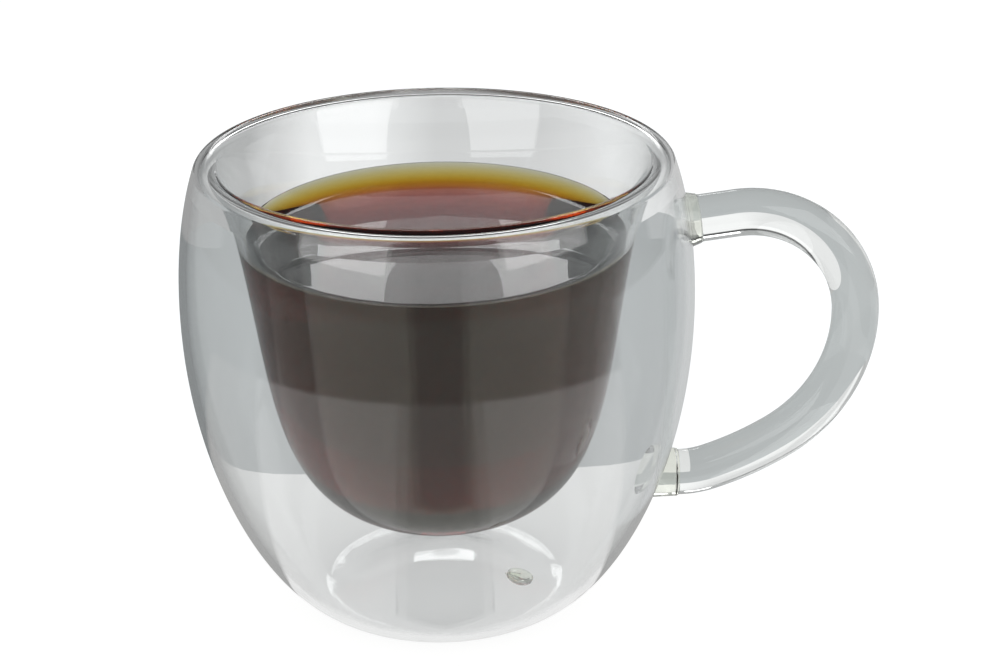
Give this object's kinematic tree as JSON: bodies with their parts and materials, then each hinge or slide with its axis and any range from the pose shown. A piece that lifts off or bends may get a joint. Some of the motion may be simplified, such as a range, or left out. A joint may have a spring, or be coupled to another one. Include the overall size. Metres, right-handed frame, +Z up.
{
  "type": "double walled glass cup",
  "caption": "Clear double walled blown glass cup with a rounded belly, rolled lip, bent rod handle on two welds and a sealed vent in its base",
  "frame": {"origin": "on the standing plane, under the middle of the overall box of cup and handle; the axis of the cup is 16.4 mm towards -X", "axes": "+Z up along the axis of the cup, +X from the cup towards the handle, -Y to the viewer of the picture"},
  "size_m": [0.1218, 0.089, 0.0821],
  "materials": {
    "clear_glass": "smooth blown borosilicate glass",
    "rod_glass": "smooth fire polished rod",
    "weld_glass": "fused glass, faintly green in its depth"
  },
  "bodies": {
    "root": {"outer_shell": "clear_glass", "inner_shell": "clear_glass", "rim_bead": "clear_glass", "handle": "rod_glass", "upper_weld": "weld_glass", "lower_weld": "weld_glass", "vent_seal": "weld_glass"}
  },
  "joints": []
}
